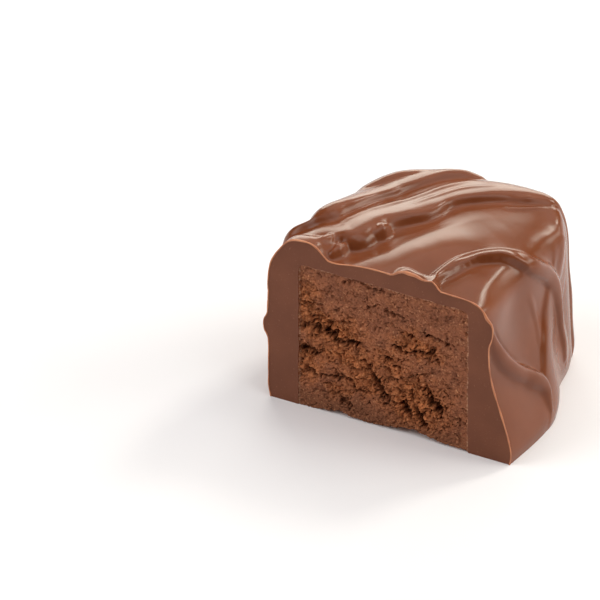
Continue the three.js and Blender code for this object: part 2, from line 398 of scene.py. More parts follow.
# drizzled strings, drops and folds: half width in front, half width behind, height, whether it
# is soft, without an edge, and the points it passes over, each with its own share of the size
strings = {
    "shoulderStrand": (0.5, 0.6, 0.28, True, [
        (7.0, 4.0, 19.5, 0.4), (7.3, 5.0, 19.5, 0.9), (8.0, 5.9, 19.6, 1), (8.8, 6.8, 19.7, 1.1),
        (9.6, 7.5, 19.7, 1.1), (10.8, 8.5, 19.6, 1), (11.8, 9.1, 19.4, 0.8), (12.8, 9.7, 18.6, 0.5),
    ]),
    "flank": (1.35, 0.8, 1.15, False, [
        (13.5, -1.4, 17.8, 0.5), (13.4, -0.3, 17.0, 0.55), (13.4, 0.3, 15.8, 0.5), (13.4, 0.8, 14.6, 0.6),
        (13.5, 1.4, 13.5, 0.75), (13.6, 2.1, 12.3, 0.9), (13.9, 3.6, 10.2, 1), (14.3, 5.0, 8.8, 1),
        (14.5, 6.3, 7.8, 1), (14.8, 7.3, 6.9, 1), (15.0, 8.1, 6.2, 0.95), (15.3, 8.8, 5.2, 0.8),
        (15.7, 9.1, 4.0, 0.6), (16.0, 9.0, 3.0, 0.4), (16.2, 9.0, 2.0, 0.2),
    ]),
    "leftFlank": (1.2, 1.2, 0.6, False, [
        (-13.2, -2.6, 10.6, 0.8), (-13.4, -0.4, 9.2, 0.9), (-13.6, 2, 8.2, 1), (-13.8, 5, 6.4, 1),
        (-14, 8, 3.6, 0.8), (-14, 10, 0.6, 0.6), (-14, 10.6, -0.8, 0.6),
    ]),
    "flankGroove": (0.45, 0.4, -0.22, True, [
        (13.5, 1.0, 15.8, 0.3), (13.5, 1.7, 14.6, 0.8), (13.5, 2.4, 13.3, 1), (13.6, 4.0, 11.0, 1),
        (13.9, 5.2, 9.6, 1), (14.3, 6.8, 7.9, 1), (14.7, 8.4, 6.8, 1), (14.9, 9.4, 6.2, 0.6),
    ]),
    "crease": (0.7, 0.7, 0.14, True, [
        (13.3, 10.0, 14.9, 0.2), (13.3, 10.8, 12.8, 1), (13.5, 11.3, 10.8, 1), (13.9, 11.0, 8.8, 0.5),
    ]),
    "cornerRound": (2.4, 2.4, -0.4, True, [
        (12.4, 11.6, 18.8, 0.2), (12.3, 13.0, 18.8, 0.7), (12.1, 14.6, 18.8, 1), (11.8, 16.2, 18.8, 1),
        (11.3, 17.8, 18.8, 0.9), (10.6, 19.4, 18.8, 0.5), (9.8, 20.8, 18.8, 0),
    ]),
    "cornerEdge": (1.3, 1.3, 0.22, True, [
        (8.2, 22.8, 18.6, 0.4), (9.7, 22.1, 18.7, 0.8), (10.9, 20.7, 18.7, 1), (11.9, 19.5, 18.4, 1),
        (12.4, 18.7, 17.1, 1), (12.7, 18.0, 15.4, 0.9), (12.8, 17.2, 14.0, 0.6),
    ]),
    "diagonalFoot": (0.45, 0.45, 0.2, True, [
        (5.7, 18.3, 19.3, 0.1), (6.6, 18.6, 19.3, 0.8), (7.7, 19.2, 19.3, 1), (8.7, 20.0, 19.2, 0.9),
        (9.4, 20.5, 19.0, 0.3),
    ]),
    "diagonalTip": (0.5, 0.5, 0.2, True, [
        (5.4, 19.2, 19.3, 0.1), (6.3, 19.9, 19.3, 0.7), (7.3, 20.6, 19.2, 1), (8.2, 21.0, 19.0, 0.3),
    ]),
    "footValley": (2.4, 2.4, -0.25, True, [
        (-6.2, -1.4, 19.3, 0.5), (-5.4, 0.4, 19.3, 0.8), (-4.0, 2.6, 19.3, 1), (-2.6, 5.0, 19.3, 1),
        (-2.0, 7.5, 19.3, 1), (-0.8, 10.0, 19.3, 1), (1.0, 13.2, 19.3, 0.8), (2.3, 15.6, 19.3, 0.4),
        (4.2, 17.6, 19.3, 0.1),
    ]),
    "panelDome": (8.0, 9.0, 0.3, True, [
        (-5.2, -2.4, 19.3, 0), (-4.2, 0.8, 19.3, 0.1), (-1.6, 4.5, 19.3, 0.6), (1.0, 7.9, 19.3, 1),
        (3.6, 11.2, 19.3, 1), (5.2, 13.6, 19.3, 0.8), (7.2, 16.4, 19.3, 0.4), (9.0, 18.6, 19.0, 0.1),
    ]),
    "panelCrest": (4.0, 4.6, 0.6, True, [
        (-1.0, -2.0, 19.3, 0.55), (-0.2, 0.0, 19.3, 0.6), (1.2, 2.5, 19.3, 0.9), (2.8, 5.2, 19.3, 1),
        (4.2, 7.8, 19.3, 0.85), (5.8, 10.4, 19.3, 0.5), (7.0, 12.8, 19.3, 0.15), (8, 14.6, 19.3, 0),
    ]),
    "firstDrop": (0.75, 0.75, 1.3, False, [
        (-7.9, 1.4, 19.7, 0.7), (-7.6, 2.0, 19.6, 1.0), (-7.3, 2.8, 19.4, 1.0),
    ]),
    "secondDrop": (0.7, 0.7, 1.2, False, [
        (-6.0, 1.1, 19.3, 0.9), (-5.8, 1.7, 19.3, 1.1), (-5.6, 2.5, 19.3, 0.9),
    ]),
    "thirdDrop": (0.75, 0.75, 1.4, False, [
        (-3.5, 6.2, 19.3, 0.8), (-3.25, 6.9, 19.3, 1.05), (-3.1, 7.6, 19.3, 0.9),
    ]),
    "streakOne": (0.6, 0.7, 0.1, True, [
        (-5.6, 10.4, 19.3, 0.4), (-4.6, 12.6, 19.3, 1), (-3.1, 15.5, 19.3, 1), (-2.0, 17.9, 19.3, 1),
        (0.1, 20.9, 19.2, 0.5),
    ]),
    "streakTwo": (0.5, 0.6, 0.09, True, [
        (-2.6, 13.4, 19.3, 0.4), (-1.7, 15.2, 19.3, 1), (0.2, 18.6, 19.3, 1), (2.9, 20.8, 19.2, 0.5),
    ]),
    "streakThree": (0.6, 0.7, 0.1, True, [
        (-7.9, 5.4, 19.3, 0.4), (-7.2, 7.1, 19.3, 1), (-6.2, 10.0, 19.3, 1), (-4.6, 13.3, 19.3, 0.5),
    ]),
}
# broad strings that ran down like a ledge: their crest, with its height above the body,
# and the foot of their front; behind the crest they slope off over the width given
ledges = {
    "diagonal": (5.4, [
        (-10.2, -2.4, 19.4, 0.1), (-9.5, -0.4, 20.4, 0.1), (-8.8, 0.6, 20.4, 0.15), (-8.2, 1.3, 20.2, 0.3),
        (-7.7, 2.2, 19.8, 0.7), (-7.1, 3.3, 19.3, 1.2), (-6.1, 3.9, 19.3, 1.5), (-5.3, 4.3, 19.3, 1.5),
        (-5.1, 5.4, 19.3, 1.45), (-5.1, 6.6, 19.3, 1.4), (-4.9, 7.8, 19.3, 1.35), (-4.2, 9.2, 19.3, 1.25),
        (-2.9, 10.3, 19.3, 1.15), (-1.9, 11.1, 19.3, 1.15), (-0.9, 12.5, 19.3, 1.1),
        (-0.4, 13.8, 19.3, 1.05), (0.1, 15.4, 19.3, 0.95), (0.9, 16.9, 19.3, 0.95), (2.3, 18.2, 19.3, 0.9),
        (4.6, 20.3, 19.3, 0.8), (7.2, 22.0, 19, 0.75), (9.0, 22.9, 17.8, 0.6), (10.2, 23, 13, 0.6),
        (11, 23, 6, 0.6), (11.2, 23, -0.8, 0.6),
    ], [
        (-6.4, -2.4, 19.3), (-6.3, -0.4, 19.4), (-6.2, 0.3, 19.4), (-5.8, 0.9, 19.3), (-5.7, 1.9, 19.3),
        (-6.1, 2.9, 19.3), (-5.0, 2.9, 19.3), (-4.0, 3.5, 19.3), (-3.4, 4.4, 19.3), (-3.1, 5.8, 19.3),
        (-2.9, 7.2, 19.3), (-2.9, 8.2, 19.3), (-2.3, 9.4, 19.3), (-1.5, 10.4, 19.3), (-0.3, 11.9, 19.3),
        (0.4, 13.5, 19.3), (0.6, 15.2, 19.3), (1.4, 16.5, 19.3), (2.9, 17.8, 19.3), (5.2, 19.4, 19.3),
        (7.6, 20.5, 19.3), (9.3, 21.5, 18.9), (10.8, 22.2, 16), (11.6, 22.2, 12), (12, 22.2, 6),
        (12, 22.2, -0.8),
    ]),
    "second": (3.6, [
        (-13.9, 6.8, -0.8, 0.6), (-14, 6.4, 8, 0.7), (-13.2, 5.4, 15.5, 0.8), (-11.9, 4.9, 18.6, 1.2),
        (-10.4, 5.4, 19.2, 1.55), (-9.9, 6.8, 19.3, 1.85), (-9.2, 8.3, 19.3, 1.9), (-8.4, 9.8, 19.3, 1.8),
        (-7.7, 11.3, 19.3, 1.55), (-6.9, 13.0, 19.3, 1.25), (-6.1, 14.6, 19.3, 1.05), (-5.7, 16.0, 19.3, 0.9),
        (-4.3, 18.7, 19.3, 0.9), (-2.8, 20.9, 19.2, 0.95), (-1.2, 22.2, 18.8, 1.05), (0.2, 22.9, 17, 0.9),
        (1.4, 23.4, 12, 0.6), (2.4, 23.4, 6, 0.6), (2.8, 23.4, -0.8, 0.6),
    ], [
        (-13.9, 4.9, -0.8), (-13.9, 4.5, 8), (-13.2, 3.9, 15.5), (-12.2, 4.0, 18.2), (-10.9, 5.0, 19.1),
        (-9.9, 5.3, 19.2), (-9.0, 5.8, 19.3), (-8.2, 6.8, 19.3), (-7.8, 8.3, 19.3), (-7.3, 9.6, 19.3),
        (-6.9, 11.2, 19.3), (-6.5, 12.7, 19.3), (-5.6, 14.6, 19.3), (-5.2, 15.8, 19.3), (-4.0, 18.0, 19.3),
        (-2.6, 19.9, 19.2), (-0.9, 21.3, 19), (0.9, 22.0, 18), (2.4, 22.4, 14), (3.4, 22.6, 6),
        (4.0, 22.8, -0.8),
    ]),
    "third": (3.4, [
        (-13.8, 12.8, -0.8, 0.6), (-13.6, 12.4, 8, 0.6), (-12.9, 11.8, 15, 0.7), (-11.4, 12.0, 18.6, 0.4),
        (-10.1, 13.3, 19.1, 0.3), (-9.2, 15.1, 19.2, 0.8), (-8.1, 16.9, 19.3, 1.0), (-7.1, 18.4, 19.3, 1),
        (-5.9, 19.8, 19.2, 0.8), (-4.6, 21.3, 19, 0.6), (-3.4, 22.4, 17.6, 0.7), (-2.8, 23, 12, 0.6),
        (-2.4, 23.2, 6, 0.6), (-2.2, 23.4, -0.8, 0.6),
    ], [
        (-13.8, 11.2, -0.8), (-13.6, 10.9, 8), (-12.8, 10.6, 15), (-11.2, 11.0, 18.8), (-9.8, 12.6, 19.2),
        (-8.9, 14.4, 19.2), (-7.8, 16.2, 19.3), (-6.8, 17.7, 19.3), (-5.6, 19.1, 19.3), (-4.2, 20.6, 19.2),
        (-2.8, 21.7, 18.4), (-1.8, 22.2, 14), (-1.2, 22.4, 6), (-1.0, 22.6, -0.8),
    ]),
    "shoulder": (0.9, [
        (5.8, -2.4, 19.4, 0.9), (6.0, -0.4, 19.5, 1.05), (6.0, 1.0, 19.5, 1.0), (6.1, 2.6, 19.4, 0.95),
        (6.4, 4.3, 19.4, 0.95), (6.8, 5.8, 19.4, 0.95), (7.4, 7.0, 19.4, 0.9), (8.2, 7.8, 19.5, 0.9),
        (9.1, 8.5, 19.6, 0.9), (9.9, 9.2, 19.6, 0.9), (10.8, 9.8, 19.5, 0.9), (11.7, 10.4, 19.3, 0.95),
        (12.5, 10.8, 18.9, 1), (12.9, 11.4, 18.3, 1), (13.1, 12.6, 17.3, 0.95), (13.1, 14.2, 15.9, 0.9),
        (13.1, 15.5, 14.0, 0.85), (13.1, 16.2, 12.2, 0.75), (13.1, 16.6, 10.2, 0.65),
        (13.3, 17.0, 7.8, 0.55), (13.4, 17.5, 5.2, 0.4), (13.4, 17.8, 3, 0.2),
    ], [
        (7.7, -2.4, 19.4), (7.5, -0.4, 19.4), (6.8, 0.9, 19.4), (6.8, 2.2, 19.4), (7.3, 3.6, 19.4),
        (7.9, 4.8, 19.6), (8.7, 5.5, 19.7), (10.0, 6.5, 19.7), (11.0, 6.9, 19.7), (12.1, 7.6, 19.4),
        (13.0, 8.9, 18.6), (13.3, 10.6, 17.1), (13.2, 12.6, 15.1), (13.1, 14.4, 13.2),
        (13.0, 15.5, 10.8), (13.2, 16.3, 7.8), (13.4, 16.9, 5.2), (13.4, 17.3, 3),
    ]),
    "upright": (3.2, [
        (13.1, 15.2, 14.8, 0.15), (13.1, 14.6, 13.7, 0.3), (13.2, 13.6, 11.9, 0.42),
        (13.5, 12.8, 9.9, 0.46), (14.0, 11.7, 8.1, 0.46), (14.6, 10.6, 6.2, 0.35), (15.2, 9.8, 4.4, 0.15),
    ], [
        (13.1, 14.3, 14.6), (13.1, 13.7, 13.5), (13.2, 12.7, 11.7), (13.5, 11.9, 9.8), (14.1, 10.8, 8.0),
        (14.8, 9.7, 6.0), (15.3, 9.0, 4.2),
    ]),
}
# corners that flowed round as they set: place, radius, rounds of smoothing
softCorners = [((11.9, 14.6, 18.7), 2.0, 12), ((11.9, 16.8, 18.5), 2.6, 14), ((11.9, 17.4, 18.5), 1.7, 14)]
# the hollow in the right-hand wall, under the shoulder
wallDent = {"place": (13.3, 6.5, 15.5), "halfSizes": (3.0, 3.6, 3.4), "depth": 0.6}
drizzle = {
    "fillet": 0.25,
    "unevenness": 0.12,
    "unevenLength": 4.0,
    "samples": 60,  # per stretch between two points
    "stringReach": 1.6,  # in half widths
    "ledgeReach": 1.5,  # in widths behind the crest
    "ledgeFall": 1.5,  # higher keeps the crest level for longer
    "steepness": 2.2,  # how fast a string's surface goes down into the body beside it
    "buried": -9.0,  # where a string is nowhere near
    "frontStretch": 1.4,  # a ledge's front fills this much more than the gap to its foot
    "frontMargin": 0.4,
}


def throughPoints(points, count):
    places = [Vector(point) for point in points]
    places = [places[0] * 2 - places[1]] + places + [places[-1] * 2 - places[-2]]
    track = []
    for p0, p1, p2, p3 in zip(places, places[1:], places[2:], places[3:]):
        t1 = (p1 - p0).length ** 0.5
        t2 = t1 + (p2 - p1).length ** 0.5
        t3 = t2 + (p3 - p2).length ** 0.5
        for step in range(count):
            t = t1 + (t2 - t1) * step / count
            a = p0.lerp(p1, t / t1)
            b = p1.lerp(p2, (t - t1) / (t2 - t1))
            c = p2.lerp(p3, (t - t2) / (t3 - t2))
            d = a.lerp(b, t / t2)
            e = b.lerp(c, (t - t1) / (t3 - t1))
            track.append(d.lerp(e, (t - t1) / (t2 - t1)))
    track.append(places[-2])
    return track


def landOn(tree, aim):
    place, normal, index, distance = tree.find_nearest(aim)
    return place, normal


def layLine(tree, aims):
    count = drizzle["samples"]
    landed = [landOn(tree, aim) for aim in throughPoints([aim[:3] for aim in aims], count)]
    centres = np.array([place[:] for place, normal in landed])
    normals = np.array([normal[:] for place, normal in landed])
    sides = np.cross(np.gradient(centres, axis=0), normals)
    sides /= np.maximum(np.linalg.norm(sides, axis=1), 1e-9)[:, None]
    kd = KDTree(len(centres))
    for index, centre in enumerate(centres):
        kd.insert(centre, index)
    kd.balance()
    return centres, sides, kd


def nearLine(points, centres, far):
    low, high = centres.min(axis=0) - far, centres.max(axis=0) + far
    return np.nonzero(np.all((points > low) & (points < high), axis=1))[0]


def alongLine(aims, centres):
    size = np.interp(np.arange(len(centres)) / drizzle["samples"], range(len(aims)), [aim[3] for aim in aims])
    for index, centre in enumerate(centres):
        wave = noise.noise(centre / drizzle["unevenLength"])
        size[index] *= 1 + drizzle["unevenness"] * wave
    return size


def stringHeight(points, tree, name):
    front, behind, height, soft, aims = strings[name]
    centres, sides, kd = layLine(tree, aims)
    size = alongLine(aims, centres)
    far = max(front, behind) * drizzle["stringReach"]
    rises = np.full(len(points), 0.0 if soft else drizzle["buried"])
    for index in nearLine(points, centres, far):
        found, at, distance = kd.find(points[index])
        if distance > far:
            continue
        inFront = float(np.dot(points[index] - centres[at], sides[at])) > 0
        across = distance / ((front if inFront else behind) * (1 if soft else size[at]))
        tall = height * size[at]
        if soft:
            rises[index] = tall * max(0, 1 - across**2) ** 2
        else:
            beside = drizzle["steepness"] * max(0, across - 1)
            rises[index] = tall * (math.sqrt(max(0, 1 - across**2)) - beside)
    return rises


def ledgeHeight(points, tree, name):
    behind, crestAims, footAims = ledges[name]
    crest, crestSides, crestKd = layLine(tree, crestAims)
    foot, footSides, footKd = layLine(tree, footAims)
    height = alongLine(crestAims, crest)
    rises = np.full(len(points), drizzle["buried"])
    far = behind * drizzle["ledgeReach"]
    for index in nearLine(points, crest, far):
        place = points[index]
        found, at, fromCrest = crestKd.find(place)
        footFound, footAt, fromFoot = footKd.find(place)
        if fromCrest > far:
            continue
        tall = height[at]
        if float(np.dot(place - foot[footAt], footSides[footAt])) > 0:
            rises[index] = -drizzle["steepness"] * fromFoot
        elif float(np.dot(place - crest[at], crestSides[at])) > 0:
            across = fromCrest / (fromCrest + fromFoot)
            apart = np.linalg.norm(crest[at] - foot[footAt])
            if fromCrest + fromFoot < drizzle["frontStretch"] * apart + drizzle["frontMargin"]:
                rises[index] = tall * math.sqrt(1 - across**2)
        else:
            rises[index] = tall * (1 - (fromCrest / behind) ** drizzle["ledgeFall"])
    return rises


def smoothBody(bm, verts, rounds):
    axes = {"use_axis_x": True, "use_axis_y": True, "use_axis_z": True}
    for step in range(rounds):
        bmesh.ops.smooth_vert(bm, verts=verts, factor=0.5, **axes)


def addDrizzle(bm):
    tree = BVHTree.FromBMesh(bm)
    points = readPoints(bm)
    normals = np.array([vert.normal[:] for vert in bm.verts])
    base = np.zeros(len(points))
    gap = np.linalg.norm((points - np.array(wallDent["place"])) / np.array(wallDent["halfSizes"]), axis=1)
    base -= wallDent["depth"] * bell(gap, 1)
    for name in strings:
        if strings[name][3]:
            base += stringHeight(points, tree, name)
    for index, point in enumerate(points / coat["waveLength"]):
        base[index] += coat["waveDepth"] * noise.noise(point)
    total = np.zeros(len(points))
    for name in strings:
        if not strings[name][3]:
            total = smoothMax(total, stringHeight(points, tree, name), drizzle["fillet"])
    for name in ledges:
        total = smoothMax(total, ledgeHeight(points, tree, name), drizzle["fillet"])
    writePoints(bm, points + normals * (base + total)[:, None])
    smoothBody(bm, bm.verts, coat["smoothing"])
    for place, radius, rounds in softCorners:
        near = [vert for vert in bm.verts if (vert.co - Vector(place)).length < radius]
        smoothBody(bm, near, rounds)


pocket = {
    "cuts": (60, 50),
    "width": 20.6,
    "height": 17.8,
    "backWall": 3.6,
    "rounding": 0.8,
    "backRoundingLeft": 7.0,
    "backRoundingRight": 2.5,
    "rag": 0.12,
    "ragLength": 0.9,
}


def makePocketCutter():
    bm = bmesh.new()
    bmesh.ops.create_cube(bm, size=2)
    splitAlong(bm, 0, pocket["cuts"][0] - 1)
    splitAlong(bm, 2, pocket["cuts"][1] - 1)
    points = readPoints(bm)
    half = pocket["width"] / 2
    depth = coat["depth"] - pocket["backWall"]
    x = points[:, 0] * half
    z = -1 + (points[:, 2] + 1) / 2 * (pocket["height"] + 1)
    y = np.where(points[:, 1] < 0, -1, depth)
    corner = pocket["rounding"]
    overX = np.maximum(np.abs(x) - (half - corner), 0)
    overZ = np.maximum(z - (pocket["height"] - corner), 0)
    over = np.hypot(overX, overZ)
    pull = np.where(over > 0, np.maximum(overX, overZ) / np.maximum(over, 1e-9), 1)
    x = np.sign(x) * (np.minimum(np.abs(x), half - corner) + overX * pull)
    z = np.minimum(z, pocket["height"] - corner) + overZ * pull
    back = points[:, 1] > 0
    for side, rounding in ((-1, pocket["backRoundingLeft"]), (1, pocket["backRoundingRight"])):
        inside = np.maximum(x * side - (half - rounding), 0)
        drop = rounding - np.sqrt(np.maximum(rounding**2 - inside**2, 0))
        y = np.where(back, np.minimum(y, depth - drop), y)
    wander = np.zeros((len(x), 2))
    for index in range(len(x)):
        spot = Vector((x[index], 0, z[index])) / pocket["ragLength"]
        wander[index] = noise.noise(spot), noise.noise(spot + Vector((9, 4, 2)))
    x = x + wander[:, 0] * pocket["rag"] + fillingShift
    z = z + wander[:, 1] * pocket["rag"]
    writePoints(bm, np.column_stack([x, y, z]))
    bmesh.ops.recalc_face_normals(bm, faces=bm.faces)
    return finishPiece("pocketCutter", bm, None)


def makeCoating(materials):
    bm = makeBlock()
    addDrizzle(bm)
    bm.normal_update()
    for face in cutFlat(bm, (0, 0, 0), (0, -1, 0)):
        face.material_index = 1
    cutFlat(bm, (0, 0, 0), (0, 0, -1))
    for face in bm.faces:
        face.smooth = len(face.verts) < 20  # the cut and the base are one many-sided face each
        if not face.smooth:
            for edge in face.edges:
                edge.smooth = False
    rim = []
    for edge in bm.edges:
        onCut = any(face.material_index == 1 for face in edge.link_faces)
        if onCut and max(vert.co.z for vert in edge.verts) > 0.01:
            rim.append(edge)
    track = chainEdges(rim)
    bmesh.ops.recalc_face_normals(bm, faces=bm.faces)
    coating = finishPiece("shell", bm, "milk_chocolate", *materials)
    cutter = makePocketCutter()
    hollow = coating.modifiers.new("pocket", "BOOLEAN")
    hollow.object = cutter
    hollow.operation = "DIFFERENCE"
    hollow.solver = "EXACT"
    bpy.context.view_layer.update()
    evaluated = coating.evaluated_get(bpy.context.evaluated_depsgraph_get())
    carved = bpy.data.meshes.new_from_object(evaluated)
    coating.modifiers.clear()
    coating.data = carved
    bpy.data.objects.remove(cutter)
    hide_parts("coating")
    return coating, track


# the points along a row of joined edges, from its left end
def chainEdges(edges):
    links = {}
    for edge in edges:
        first, second = edge.verts
        links.setdefault(first, []).append(second)
        links.setdefault(second, []).append(first)
    ends = sorted((vert for vert in links if len(links[vert]) == 1), key=lambda vert: vert.co.x)
    vert, last = ends[0], None
    track = [vert.co.copy()]
    while True:
        ahead = [other for other in links[vert] if other is not last]
        if not ahead:
            return track
        last, vert = vert, ahead[0]
        track.append(vert.co.copy())


shellFinish = {
    "dark": (115, 61, 34),
    "light": (126, 68, 40),
    "roughness": (0.22, 0.28),
    "gloss": 0.3,
    "subsurface": 0.12,
    "subsurfaceRadius": (1.0, 0.4, 0.2),
    "subsurfaceScale": 0.0006,
    "patchScale": 180,
    "grainScale": 1400,
    "bumpStrength": 0.12,
    "bumpDistance": 0.00003,
}


def makeShellMaterial():
    material, tree, shader = newMaterial("milkChocolate")
    place = addNode(tree, "ShaderNodeTexCoord").outputs["Object"]
    broad = addNoise(tree, place, shellFinish["patchScale"], 3)
    fine = addNoise(tree, place, shellFinish["grainScale"], 3)
    color = addRamp(tree, broad, [
        (0.3, fromRgb(*shellFinish["dark"])),
        (0.7, fromRgb(*shellFinish["light"])),
    ])
    shine = addRange(tree, broad, 0, 1, *shellFinish["roughness"])
    bump = addBump(tree, fine, shellFinish["bumpStrength"], shellFinish["bumpDistance"])
    tree.links.new(color, shader.inputs["Base Color"])
    tree.links.new(shine, shader.inputs["Roughness"])
    tree.links.new(bump, shader.inputs["Normal"])
    shader.inputs["Subsurface Weight"].default_value = shellFinish["subsurface"]
    shader.inputs["Subsurface Radius"].default_value = shellFinish["subsurfaceRadius"]
    shader.inputs["Subsurface Scale"].default_value = shellFinish["subsurfaceScale"]
    shader.inputs["Specular IOR Level"].default_value = shellFinish["gloss"]
    return material


cutFinish = {
    "dark": (109, 64, 45),
    "light": (120, 72, 51),
    "speck": (138, 88, 68),
    "roughness": 0.6,
    "gloss": 0.2,
    "patchScale": 220,
    "speckScale": 5000,
    "bumpStrength": 0.2,
    "bumpDistance": 0.00003,
}


def makeCutMaterial():
    material, tree, shader = newMaterial("cutChocolate")
    place = addNode(tree, "ShaderNodeTexCoord").outputs["Object"]
    broad = addNoise(tree, place, cutFinish["patchScale"], 3)
    speck = addNoise(tree, place, cutFinish["speckScale"], 2)
    color = addRamp(tree, broad, [
        (0.3, fromRgb(*cutFinish["dark"])),
        (0.7, fromRgb(*cutFinish["light"])),
    ])
    light = addRamp(tree, speck, [(0.66, (0, 0, 0)), (0.74, (1, 1, 1))])
    color = addMix(tree, light, color, fromRgb(*cutFinish["speck"]))
    bump = addBump(tree, speck, cutFinish["bumpStrength"], cutFinish["bumpDistance"])
    tree.links.new(color, shader.inputs["Base Color"])
    tree.links.new(bump, shader.inputs["Normal"])
    shader.inputs["Roughness"].default_value = cutFinish["roughness"]
    shader.inputs["Specular IOR Level"].default_value = cutFinish["gloss"]
    return material


# the lip's pale orange is painted light: the glow of the thin coating edge lit from behind, and the highlight
# it catches along the cut's rim
lipGlowFinish = {"dark": (172, 102, 66), "light": (214, 142, 98), "roughness": 0.4, "patchScale": 500}


def makeLipGlowMaterial():
    material, tree, shader = newMaterial("paintedLipGlow")
    place = addNode(tree, "ShaderNodeTexCoord").outputs["Object"]
    along = addNoise(tree, place, lipGlowFinish["patchScale"], 3)
    color = addRamp(tree, along, [
        (0.3, fromRgb(*lipGlowFinish["dark"])),
        (0.7, fromRgb(*lipGlowFinish["light"])),
    ])
    tree.links.new(color, shader.inputs["Base Color"])
    shader.inputs["Roughness"].default_value = lipGlowFinish["roughness"]
    return material


lip = {
    "radius": 0.075,
    "unevenness": 0.5,
    "unevenScale": 0.9,
    "spacing": 0.25,  # between its points
}
# where the lip is thicker, so its painted glow spreads wider: x, z, width, how much
lipBumps = [(3.4, 20.4, 1.6, 0.14), (13.2, 17.4, 1.5, 0.07), (-9, 20.5, 2.5, 0.03)]


def makeLip(track, material):
    kept = [track[0]]
    for place in track[1:-1]:
        if (place - kept[-1]).length > lip["spacing"]:
            kept.append(place)
    kept.append(track[-1])
    data = bpy.data.curves.new("cutLip", "CURVE")
    data.dimensions = "3D"
    data.bevel_depth = mm
    data.bevel_resolution = 2
    data.use_fill_caps = True
    spline = data.splines.new("POLY")
    spline.points.add(len(kept) - 1)
    for point, place in zip(spline.points, kept):
        point.co = (*(bodyOrigin + place * mm), 1)
        wave = 1 + lip["unevenness"] * noise.noise(place * lip["unevenScale"])
        thick = lip["radius"]
        for atX, atZ, width, extra in lipBumps:
            thick += extra * bell(math.hypot(place.x - atX, place.z - atZ), width)
        point.radius = thick * wave
    data.materials.append(material)
    piece = bpy.data.objects.new("cutLip", data)
    bpy.context.collection.objects.link(piece)
    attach(piece, "root")
    return piece


shellMaterial = makeShellMaterial()
cutMaterial = makeCutMaterial()
coating, rimTrack = makeCoating((shellMaterial, cutMaterial))
cutLip = makeLip(rimTrack, makeLipGlowMaterial())
print("coating made:", len(coating.data.polygons), "faces")

centre = {
    "cutsAcross": 300,
    "cutsUp": 260,
    "setBack": 0.04,  # behind the coating's cut face
    "overlap": 0.25,  # into the coating, so that no gap shows
    "swell": 0.1,
    "tearDepth": 0.62,
    "tearSoftness": (0.6, 1.5),  # where a tear's side starts and ends, in half widths
    "tearRoughness": 1.1,
    "crackWidth": 0.06,
    "smoothCrumb": 0.1,  # how crumbly the smooth parts are
    "underCut": 2.5,  # the ragged lower edge is level with the base this far back
    "underCutHeight": 2,  # only the filling below this is part of that edge
    "raggedness": 0.12,
    "raggedLength": 0.7,
    "flatRim": 0.15,  # the cut is level this close to the coating
    "rimFade": 0.3,
}
# how deep each kind of roughness is, and what share of that the smooth parts have
roughness = {
    "crack": (0.45, 0.4),
    "lump": (0.95, 0.05),
    "grain": (0.5, 0.35),
    "pore": (0.9, 0.4),
}
# the noise behind each pattern: width, height, seed
patterns = {
    "swell": (2, 1.4, 5.5),
    "tearEdge": (0.24, 0.2, 11.6),
    "tearDepth": (0.45, 0.35, 14.2),
    "crackLine": (1.15, 0.5, 1.7),
    "crackGap": (1.3, 0.8, 8.1),
    "pore": (0.3, 0.24, 12.5),
}
# rounded cells: size, seed, how much of each is level, power of its slope
cells = {"lump": (0.6, 3.3, 0.25, 1.5), "grain": (0.27, 7.7, 0.2, 1.3)}
# how the cut's patterns are bent so that nothing runs straight: amount, size, seeds for x and z
bends = [(0.3, 1.1, 1.7, 6.2), (0.2, 0.42, 4.1, 8.6)]
fineBend = (0.1, 0.2, 2.4, 9.3)
# soft patches of coarse crumb: x, z, half width, half height, strength
crumbPatches = [
    (-8.8, 12.5, 1.8, 3.4, 0.8),
    (-6, 10.5, 4.2, 2.0, 1.0),
    (-4, 7.6, 4.6, 1.6, 0.9),
    (-8.6, 5.8, 1.6, 2.6, 0.8),
    (-1.6, 5.4, 3.4, 2.0, 0.8),
    (1.5, 8.2, 2.2, 2.0, 0.7),
    (4.6, 11.3, 3.0, 1.6, 0.9),
    (4.6, 4.2, 3.8, 3.6, 1.0),
    (-4.6, 3.2, 1.6, 1.2, 0.7),
]
# where the filling is greyer and darker: x, z, half width, half height, strength
dullPatches = [(-5, 0.6, 9, 1.8, 0.8), (-2.6, 1.4, 2.6, 1.6, 0.8), (6, 0.6, 8, 1.1, 0.6)]
